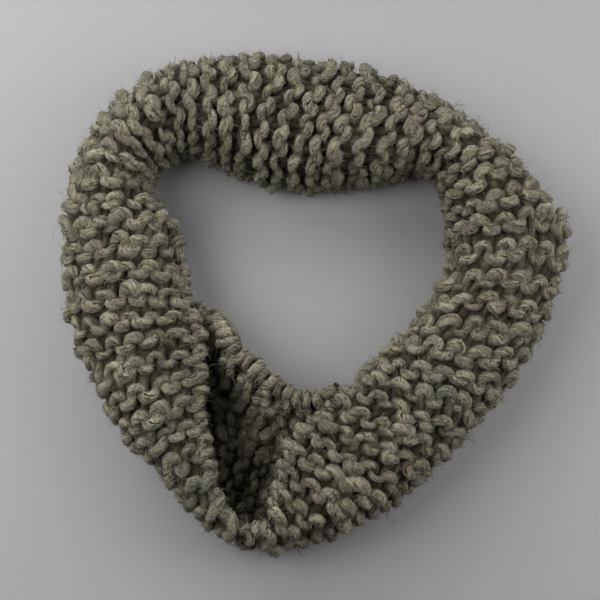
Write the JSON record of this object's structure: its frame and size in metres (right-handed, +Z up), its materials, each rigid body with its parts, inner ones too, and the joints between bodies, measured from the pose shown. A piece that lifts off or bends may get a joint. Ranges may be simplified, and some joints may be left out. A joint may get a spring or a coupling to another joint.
{
  "type": "infinity scarf",
  "caption": "Chunky garter-stitch knitted cowl lying as a soft triangular ring, its band rolled over on itself and standing open as a trough at the near side.",
  "frame": {"origin": "centre of the bounding box's base, on the surface the scarf lies on", "axes": "+Z up out of the surface; -Y towards the open mouth of the roll, the side nearest in the picture; +X to the picture's right"},
  "size_m": [0.2746, 0.272, 0.0539],
  "materials": {
    "stretch_far_wool": "loosely spun plied wool, oatmeal with dark flecks, soft and fuzzy",
    "stretch_far_right_wool": "loosely spun plied wool, oatmeal with dark flecks, soft and fuzzy",
    "stretch_right_wool": "loosely spun plied wool, oatmeal with dark flecks, soft and fuzzy",
    "stretch_mouth_right_wool": "loosely spun plied wool, oatmeal with dark flecks, soft and fuzzy",
    "stretch_mouth_left_wool": "loosely spun plied wool, oatmeal with dark flecks, soft and fuzzy",
    "stretch_left_wool": "loosely spun plied wool, oatmeal with dark flecks, soft and fuzzy",
    "stretch_far_left_wool": "loosely spun plied wool, oatmeal with dark flecks, soft and fuzzy"
  },
  "bodies": {
    "root": {"stretch_far": "stretch_far_wool", "stretch_far_right": "stretch_far_right_wool", "stretch_right": "stretch_right_wool", "stretch_mouth_right": "stretch_mouth_right_wool", "stretch_mouth_left": "stretch_mouth_left_wool", "stretch_left": "stretch_left_wool", "stretch_far_left": "stretch_far_left_wool"}
  },
  "joints": []
}
